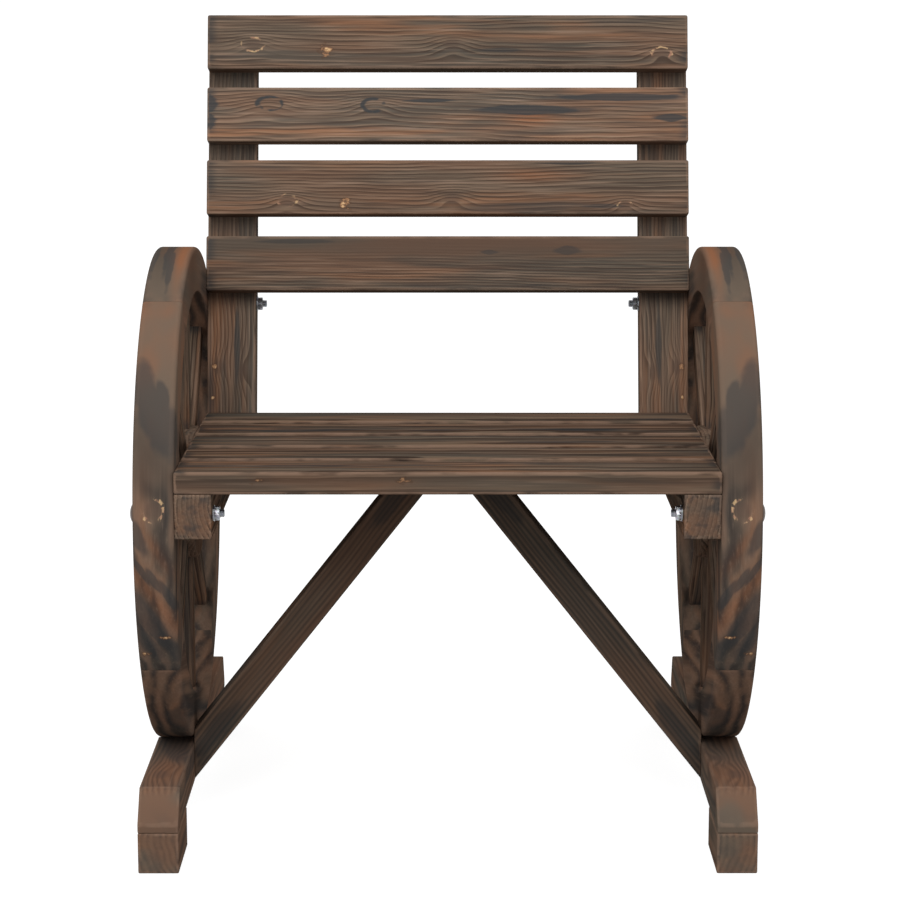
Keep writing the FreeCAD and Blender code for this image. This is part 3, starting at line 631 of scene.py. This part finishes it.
# Painted shadow: a dark band down the front edge of every slat behind the first, where the gap in front of
# it lies in shade.
gap_shadow_marks = {"smoked_and_shaded": [(0, -0.034, -0.004, 2.0, 0.005, 0.012)]}
for count in range(5):
    middle = count * slat_pitch + slat_width / 2 - seat_front
    grain = np.array([11 + 1.7 * count, 0.05 - 0.01 * count, 0.04])
    kinds = gap_shadow_marks if count else seat_front_marks
    # The seat's stain is darker than the back's, partly as painted shade on the slats' tops.
    finish = stained_fir("seat_fir_%d" % (count + 1), **marks(kinds, grain), ring_width=12 * mm, stain=0.77,
                         push=1 * mm, charred=0.8, rubbed_and_highlit=0.8)
    timber("seat_slat_%d" % (count + 1), finish, ((1, 0, 0), (0, 1, 0), (0, 0, 1)),
           (0, middle, seat_under + slat_thick / 2), (slat_width, slat_thick),
           (-seat_half, 0, 0), (seat_half, 0, 0), slat_stations, 1,
           soft=slat_round, ease=slat_round, grain=grain)

# Back posts
# Two flat boards of fir that carry the backrest, leaning back from the rear ends of the seat rails.
# The foot is cut level; two staggered screws in sunk holes go into the rail, and a bolt through the rim.
post_width = 53 * mm
post_thick = 30 * mm
post_line = inner_face - post_width / 2
post_top = 454.6 * mm
post_screw_apart = 12 * mm
post_screw_rise = 18 * mm
post_screw_sink = 5 * mm
up = np.array([0, np.sin(lean), np.cos(lean)])
back = np.array([0, np.cos(lean), -np.sin(lean)])
foot_spot = np.array([0, post_foot, seat_under])
post_centre = foot_spot + back * post_thick / 2 + [post_line, 0, 0]
post_foot_cut = -rail_height / np.cos(lean) + post_thick / 2 * np.tan(lean)
post_screw_spots = []
for half in (-1, 1):
    level = rail_middle - half * post_screw_rise / 2
    rear = post_foot + (level - seat_under) * np.tan(lean) + post_thick / np.cos(lean)
    post_screw_spots.append(np.array([rail_line + half * post_screw_apart / 2, rear, level]))
post_rows = sorted(float((spot - post_centre) @ up) for spot in post_screw_spots)
post_stations = [row + step * bore_room for row in post_rows for step in (-1, 0, 1)]
post_stations = np.sort(np.concatenate([post_stations, np.linspace(0.05, post_top - eased - worn, 9)]))
post_marks = {
    "eyes": [(0.066, -0.012, -0.015, 0.014, 0.007, 0.05), (0.072, 0.014, -0.015, 0.012, 0.009, 0.05)],
    "burns": [(0.095, -0.006, -0.015, 0.05, 0.004, 0.03)],
    "bare": [(0.072, 0.019, -0.015, 0.0045, 0.004, 0.01), (0.038, 0.020, -0.015, 0.003, 0.003, 0.01)],
    # Painted shadow: dark bands on the posts' fronts just below each back slat, where the slat shades the
    # post.
    "smoked_and_shaded": [(lift, 0, -0.015, 0.013, 0.1, 0.05) for lift in (0.153, 0.226, 0.309, 0.39)],
}
for tag, side in both_sides:
    grain = (side * 0.9 + 21, 0.07, 0.06)
    finish = stained_fir(tag + "_post_fir", **marks(post_marks, grain), ring_width=3.2 * mm, sway=2.0,
                         push=6 * mm, contrast=0.6, burnt=0.6)
    bores = []
    for spot in post_screw_spots:
        row = int(np.argmin(np.abs(post_stations - (spot - post_centre) @ up)))
        bores.append((0, row, post_line - spot[0], access_radius, access_radius / np.cos(lean),
                      (-np.sin(lean), 0, -np.cos(lean)), post_screw_sink))
    timber(tag + "_back_post", finish, (up, (1, 0, 0), back), post_centre, (post_width, post_thick),
           (post_foot_cut, 0, np.tan(lean)), (post_top, 0, 0), post_stations, side,
           bores=bores, grain=grain)

# Back slats
# Four boards like the seat's, screwed from behind to the fronts of the leaning posts.
# The lowest stands a little further from the next than the others do.
slat_lifts = np.array([398.6, 318.0, 237.4, 153.4]) * mm
through = 0.1
back_stain = (0.98, 1.2, 0.96, 1.0)
back_marks = (
    {"flecked": [(-0.214, -0.003, 0, 0.014, 0.009, through), (0.235, -0.013, 0, 0.013, 0.008, through)],
     "eyes": [(0.005, -0.003, 0, 0.013, 0.010, through)],
     "bare": [(-0.134, -0.010, 0, 0.009, 0.009, through)],
     "burns": [(0.06, -0.009, 0, 0.03, 0.003, through)]},
    {"swirls": [(-0.196, 0.012, 0, 0.018, 0.010, through), (-0.082, 0.010, 0, 0.016, 0.010, through)],
     "burns": [(0.088, 0.005, 0, 0.075, 0.0065, through), (0.19, 0.019, 0, 0.10, 0.005, through),
               (-0.02, 0.015, 0, 0.035, 0.0025, through), (0.245, -0.004, 0, 0.025, 0.005, through),
               (-0.262, 0.012, 0, 0.012, 0.012, through), (-0.262, -0.008, 0, 0.010, 0.012, through)],
     "warmed": [(0.09, -0.005, 0, 0.03, 0.010, through)]},
    {"flecked": [(-0.176, -0.015, 0, 0.012, 0.008, through), (0.194, -0.021, 0, 0.009, 0.007, through)],
     "eyes": [(0.005, -0.013, 0, 0.013, 0.009, through)],
     "bare": [(-0.112, -0.019, 0, 0.008, 0.009, through)],
     "burns": [(0.133, 0.027, 0, 0.04, 0.003, through), (0.17, -0.021, 0, 0.03, 0.003, through)],
     "warmed": [(0.092, 0.013, 0, 0.045, 0.008, through)]},
    {"burns": [(0.131, 0.014, 0, 0.018, 0.006, through), (0.045, 0.012, 0, 0.012, 0.003, through),
               (-0.165, 0.024, 0, 0.05, 0.003, through)],
     "calm": [(0, 0.022, 0.08, 0.6, 0.026, through)],
     "smoked_and_shaded": [(0, 0.020, 0.05, 0.6, 0.022, through)]})
back_burnt = (0.6, 0.85, 0.6, 0.5)
back_heart = (0.06, 0.05, 0.065, 0.09)
for count, lift in enumerate(slat_lifts):
    grain = np.array([31 + 2.3 * count, back_heart[count], 0.035])
    finish = stained_fir("back_fir_%d" % (count + 1), **marks(back_marks[count], grain),
                         ring_width=3.4 * mm, stain=back_stain[count], push=7 * mm, contrast=0.8,
                         burnt=back_burnt[count], charred=0.4)
    timber("back_slat_%d" % (count + 1), finish, ((1, 0, 0), up, -back),
           foot_spot + up * (lift + slat_width / 2) - back * slat_thick / 2, (slat_width, slat_thick),
           (-seat_half, 0, 0), (seat_half, 0, 0), slat_stations, 1,
           soft=slat_round, ease=slat_round, grain=grain)

# Braces
# Two slanting bars of fir under the seat, from the foot beams up to the middle slat, where they nearly meet.
# One end is cut upright and the other level; a screw at each end sits in a hole through the underside.
brace_wide = 32 * mm
brace_thick = 40 * mm
brace_split = 1 * mm
brace_low = pad_height + 2 * mm
brace_line = 2 * slat_pitch + slat_width / 2 - seat_front
brace_screw_sink = 4 * mm
brace_bore_room = 9 * mm
brace_run = inner_face - brace_split
brace_drop = seat_under - brace_low
brace_long = np.hypot(brace_run, brace_drop)
brace_way = np.array([brace_run, 0, -brace_drop]) / brace_long
brace_up = np.array([brace_drop, 0, brace_run]) / brace_long
brace_start = np.array([brace_split, brace_line, seat_under]) + brace_up * brace_wide / 2
tilt = brace_drop / brace_run
foot_level = pad_height + beam_height / 2
foot_across = inner_face - (foot_level - brace_low) / tilt
head_across = brace_split + brace_wide * brace_long / brace_drop / 2
brace_mouths = (((head_across, brace_line, seat_under - (head_across - brace_split) * tilt), (0, 0, 1)),
                ((foot_across, brace_line, foot_level), (1, 0, 0)))
brace_axes = np.array([brace_way, (0, 1, 0), brace_up])
head_slope, foot_slope = brace_run / brace_drop, brace_drop / brace_run
head_cut = (brace_wide / 2 * head_slope, 0, head_slope)
foot_cut = (brace_long - brace_wide / 2 * foot_slope, 0, -foot_slope)
# Char at both ends of the braces; at the upper end, under the seat, it is partly painted shade.
brace_marks = {"burns": [(0.05, -0.02, 0.004, 0.05, 0.02, 0.010), (0.37, -0.02, -0.002, 0.05, 0.02, 0.010)]}
for tag, side in both_sides:
    grain = (side * 1.4 + 41, 0.04, 0.05)
    # The braces' low stain is partly painted shade under the seat.
    finish = stained_fir(tag + "_brace_fir", **marks(brace_marks, grain), stain=0.63, crisp=False,
                         contrast=0.5, burnt=0.5)
    rows = [(np.array(mouth) - brace_start) @ brace_way for mouth, into in brace_mouths]
    stations = sorted([row + step * brace_bore_room for row in rows for step in (-1, 0, 1)])
    stations = np.concatenate([stations[:3], np.linspace(0.08, brace_long - 0.08, 7), stations[3:]])
    bores = []
    for row, (mouth, into) in zip(rows, brace_mouths):
        turned = brace_axes @ np.array(into)
        bores.append((2, int(np.argmin(np.abs(stations - row))), 0, access_radius,
                      access_radius / abs(turned[2]), turned, brace_screw_sink))
    timber(tag + "_brace", finish, brace_axes, brace_start, (brace_thick, brace_wide),
           head_cut, foot_cut, stations, side, bores=bores, grain=grain)

# Bolts
# Zinc-plated coach bolts with low domed heads outside, through the rim into the rail or the post.
# The threaded ends stand a little beyond the nuts inside.
bolt_radius = 4 * mm
bolt_head_radius = 10 * mm
bolt_head_high = 4.5 * mm
bolt_tail = 4.6 * mm
washer_thick = 1.6 * mm
nut_thick = 5 * mm
thread_pitch = 1.25 * mm
thread_deep = 0.45 * mm
thread_rings = 10
thread_start = 0.9 * mm
tip_bevel = 0.4 * mm
round_columns = 32
rail_inner = inner_face - rail_width
post_inner = inner_face - post_width
outer_face = inner_face + wheel_thick
post_lean_line = foot_spot + back * post_thick / 2 - [0, 0, wheel_middle]
nearest = post_lean_line @ up
post_bolt_up = np.sqrt(nearest ** 2 - post_lean_line @ post_lean_line + rim_middle ** 2) - nearest
post_bolt = post_lean_line + up * post_bolt_up + [0, 0, wheel_middle]
bolt_spots = {"seat_rail_bolts": (rail_inner, rail_bolt_y, rail_middle),
              "back_post_bolts": (post_inner, post_bolt[1], post_bolt[2])}


def zinc_plate(name):
    """Dull bright zinc: fine crystals from cell noise over a slow cloud that dulls it here and there.
    Beyond the wheel's outer face it is covered by the wood's dark stain."""
    finish = bpy.data.materials.new(name)
    finish.use_nodes = True
    tree = finish.node_tree
    skin = tree.nodes["Principled BSDF"]
    place = shade(tree, "TexCoord", out=3)
    crystal = shade(tree, "TexVoronoi", place, 900.0, out=1)
    cloud = shade(tree, "TexNoise", place, 160.0, 3.0, 0.6)
    tone = shade(tree, "Mix", cloud, shown(186, 188, 192), shown(118, 120, 126), data_type="RGBA")
    tone = shade(tree, "Mix", 0.15, tone, crystal, data_type="RGBA", blend_type="SOFT_LIGHT")
    across = shade(tree, "Math", shade(tree, "SeparateXYZ", place), operation="ABSOLUTE")
    bare = shade(tree, "Math", across, outer_face - 0.2 * mm, operation="LESS_THAN")
    tone = shade(tree, "Mix", bare, shown(84, 68, 58), tone, data_type="RGBA")
    tree.links.new(tone, skin.inputs["Base Color"])
    tree.links.new(shade(tree, "MapRange", cloud, 0.3, 0.7, 0.28, 0.5), skin.inputs["Roughness"])
    tree.links.new(bare, skin.inputs["Metallic"])
    return finish


zinc = zinc_plate("zinc_plated_steel")


def fastener(node, shape, places, closed=False):
    """Sets copies of one turned shape at several places, each (origin, direction of its axis), as one
    piece."""
    rows, columns = shape.shape[:2]
    spots = shape.reshape(-1, 3)
    if closed:
        grid = np.arange(rows * columns).reshape(rows, columns)
        under, ahead = np.roll(grid, -1, 0), np.roll(grid, -1, 1)
        faces = np.stack([grid, ahead, np.roll(under, -1, 1), under], -1).reshape(-1, 4).tolist()
    else:
        grid, quads, fans = skin_faces(rows, columns)
        faces = quads.tolist() + fans.tolist()
        spots = np.concatenate([spots, [shape[0].mean(0), shape[-1].mean(0)]])
    points, skins = [], []
    for origin, axis in places:
        axis = np.array(axis, float)
        helper = np.array([0, 0, 1.0]) if abs(axis[2]) < 0.9 else np.array([0, 1.0, 0])
        first = np.cross(helper, axis)
        first /= np.linalg.norm(first)
        skins += [[corner + len(points) * len(spots) for corner in face] for face in faces]
        points.append(np.array(origin) + spots @ np.array([axis, first, np.cross(axis, first)]))
    made = piece(node + "_steel", np.concatenate(points), skins)
    made.data.materials.append(zinc)
    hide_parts(node)
    return made


for node, (inside, deep, level) in bolt_spots.items():
    reach = outer_face - inside + washer_thick + nut_thick + bolt_tail
    tip = np.array([[-reach, bolt_radius - 2 * thread_deep], [tip_bevel - reach, bolt_radius - thread_deep]])
    turns = np.arange(thread_rings) * thread_pitch / 2 + thread_start
    thread = np.stack([turns - reach, bolt_radius - thread_deep * (np.arange(thread_rings) % 2)], -1)
    neck = np.array([[thread[-1, 0] + thread_pitch / 2, bolt_radius], [0, bolt_radius]])
    swell = np.radians(np.linspace(90, 6, 9))
    head = np.stack([bolt_head_high * np.cos(swell), bolt_head_radius * np.sin(swell)], -1)
    shape = lathe(np.concatenate([tip, thread, neck, head]), round_columns)
    fastener(node, shape, [((sign * outer_face, deep, level), (sign, 0, 0)) for sign in (-1, 1)])

# Washers
# Flat rings of zinc-plated steel between the nuts and the wood.
washer_radius = 8 * mm
rim = 0.25 * mm
washer_bore = 4.25 * mm
washer_profile = np.array([[-washer_thick, washer_bore], [-washer_thick, washer_radius - rim],
                           [rim - washer_thick, washer_radius], [-rim, washer_radius],
                           [0, washer_radius - rim], [0, washer_bore]])
washer_places = [((sign * inside, deep, level), (sign, 0, 0))
                 for inside, deep, level in bolt_spots.values() for sign in (-1, 1)]
fastener("bolt_washers", lathe(washer_profile, round_columns), washer_places, closed=True)

# Nuts
# Six-sided nuts of zinc-plated steel with chamfered corners, run up against the washers.
nut_radius = 7.5 * mm
nut_flat = nut_radius * np.cos(np.pi / 6)
nut_bevel = 0.6 * mm
nut_columns = 48
nut_profile = np.array([[-nut_thick, bolt_radius], [-nut_thick, nut_flat],
                        [nut_bevel - nut_thick, nut_radius], [-nut_bevel, nut_radius],
                        [0, nut_flat], [0, bolt_radius]])
nut_angle = np.linspace(0, 2 * np.pi, nut_columns, endpoint=False)
six_sided = nut_flat / np.cos(np.mod(nut_angle, np.pi / 3) - np.pi / 6)
nut_shape = lathe(nut_profile, nut_columns)
nut_far = np.minimum(nut_profile[:, 1:], six_sided)
nut_shape[..., 1] = nut_far * np.cos(nut_angle)
nut_shape[..., 2] = nut_far * np.sin(nut_angle)
nut_places = [((x - axis[0] * washer_thick, y, z), axis) for (x, y, z), axis in washer_places]
fastener("bolt_nuts", nut_shape, nut_places, closed=True)

# Wood screws
# Countersunk screws with a cross recess in the head, at every joint that has no bolt.
screw_radius = 2 * mm
screw_head_radius = 4 * mm
screw_head_high = 3 * mm
screw_point = 6 * mm
screw_rim = 0.25 * mm
screw_recess = 1.6 * mm
recess_wide = 0.8 * mm
recess_reach = 2.3 * mm


def screw_shape(long):
    """A turned screw lying along its axis; the head's flat sinks by the recess depth inside a cross of two
    bars."""
    body = np.array([[-long, 0.3 * mm], [screw_point - long, screw_radius], [-screw_head_high, screw_radius],
                     [-screw_rim, screw_head_radius]])
    flat_radii = np.linspace(0.97, 0.08, 12)[:, None] * screw_head_radius
    shape = lathe(np.concatenate([body, np.concatenate([0 * flat_radii, flat_radii], 1)]), round_columns)
    flat = shape[len(body):]
    one, two = np.abs(flat[..., 1]), np.abs(flat[..., 2])
    inside = (np.minimum(one, two) < recess_wide / 2 + 0.01 * mm) & (np.maximum(one, two) < recess_reach)
    flat[..., 0] = np.where(inside, -screw_recess, 0)
    return shape


long_screw = 60 * mm
seat_screw = 56 * mm
back_screw = 44 * mm
brace_screw = 40 * mm
pad_middle = beam_end - pad_length / 2
hub_screw_apart = 76 * mm
back_screw_apart = 30 * mm
screws = {
    "seat_slat_screws": (seat_screw, [((sign * rail_line, row, rail_under + seat_screw_sink), (0, 0, -1))
                                      for sign in (-1, 1) for row in seat_screw_rows]),
    "back_slat_screws": (back_screw, [(foot_spot + up * (lift + slat_width / 2 + half * back_screw_apart / 2)
                                       + back * post_thick + [sign * post_line, 0, 0], back)
                                      for sign in (-1, 1) for lift in slat_lifts for half in (-1, 1)]),
    "foot_pad_screws": (long_screw, [((sign * wheel_line, end * pad_middle + half * pad_screw_apart / 2,
                                       pad_screw_sink), (0, 0, -1))
                                     for sign in (-1, 1) for end in (-1, 1) for half in (-1, 1)]),
    "wheel_foot_screws": (long_screw, [((sign * wheel_line, row, pad_height + wheel_screw_sink), (0, 0, -1))
                                       for sign in (-1, 1) for row in screw_rows]),
    "rail_hub_screws": (long_screw, [((sign * rail_inner, half * hub_screw_apart / 2, rail_middle),
                                      (-sign, 0, 0))
                                     for sign in (-1, 1) for half in (-1, 1)]),
    "post_rail_screws": (long_screw, [(spot * [sign, 1, 1] - [0, post_screw_sink, 0], (0, 1, 0))
                                      for sign in (-1, 1) for spot in post_screw_spots]),
    "brace_screws": (brace_screw, [((np.array(mouth) + np.array(into) * brace_screw_sink) * [sign, 1, 1],
                                    -np.array(into) * [sign, 1, 1])
                                   for sign in (-1, 1) for mouth, into in brace_mouths]),
}
for node, (long, places) in screws.items():
    fastener(node, screw_shape(long), places)

# Studio floor
# A plain pale floor, wide enough to reach past the edges of every view.
reach = 200.0
corners = np.array([[-reach, -reach, 0], [reach, -reach, 0], [reach, reach, 0], [-reach, reach, 0]])
floor_mesh = bpy.data.meshes.new("studio_floor")
floor_mesh.from_pydata(corners.tolist(), [], [[0, 1, 2, 3]])
floor = bpy.data.objects.new("studio_floor", floor_mesh)
bpy.context.collection.objects.link(floor)
pale = bpy.data.materials.new("pale_floor")
pale.use_nodes = True
paint = pale.node_tree.nodes["Principled BSDF"].inputs
paint["Base Color"].default_value = (0.35, 0.35, 0.35, 1)
paint["Roughness"].default_value = 0.9
paint["Specular IOR Level"].default_value = 0
paint["Emission Color"].default_value = (1, 1, 1, 1)
paint["Emission Strength"].default_value = 0.86
floor.visible_diffuse = False
floor_mesh.materials.append(pale)

# Soft light
# A white room that is darker overhead and below, one broad lamp in front, and a weaker one from each side.
# Colours are shown as mixed, with no film curve.
bpy.context.scene.view_settings.view_transform = "Standard"
world = bpy.data.worlds.new("white_room")
world.use_nodes = True
tree = world.node_tree
height = shade(tree, "SeparateXYZ", shade(tree, "TexCoord")).node.outputs[2]
above = shade(tree, "MapRange", height, 0.0, 1.0, 1.0, 0.55)
walls = shade(tree, "MapRange", height, -0.2, -0.01, 0.22, 1.0)
strength = shade(tree, "Math", above, walls, operation="MULTIPLY")
tree.links.new(strength, tree.nodes["Background"].inputs["Strength"])
tree.nodes["Background"].inputs["Color"].default_value = (1, 1, 1, 1)
bpy.context.scene.world = world


def soft_lamp(name, at, aim, size, power):
    """A square lamp of even light at one place, turned to face another."""
    lamp = bpy.data.lights.new(name, "AREA")
    lamp.size = size
    lamp.energy = power
    made = bpy.data.objects.new(name, lamp)
    bpy.context.collection.objects.link(made)
    made.location = at
    ahead = np.array(aim, float) - np.array(at, float)
    ahead /= np.linalg.norm(ahead)
    made.rotation_euler = (np.arccos(-ahead[2]), 0, np.arctan2(-ahead[0], ahead[1]))


soft_lamp("front_lamp", (-0.4, -2.6, 2.9), (0, 0, 0.45), 2.0, 60)
soft_lamp("left_lamp", (-2.6, -0.4, 1.8), (0, 0, 0.4), 1.6, 5)
soft_lamp("right_lamp", (2.6, -0.4, 1.8), (0, 0, 0.4), 1.6, 5)

# Camera
# In front of the chair, a little above the back, with a long lens, as the photograph was taken.
view = bpy.data.cameras.new("view")
view.sensor_width = 36
view.lens = 103.98
camera = bpy.data.objects.new("view", view)
bpy.context.collection.objects.link(camera)
camera.location = (0, -2.7082, 0.8627)
camera.rotation_euler = np.radians([79.77, 0, -0.05])
bpy.context.scene.camera = camera
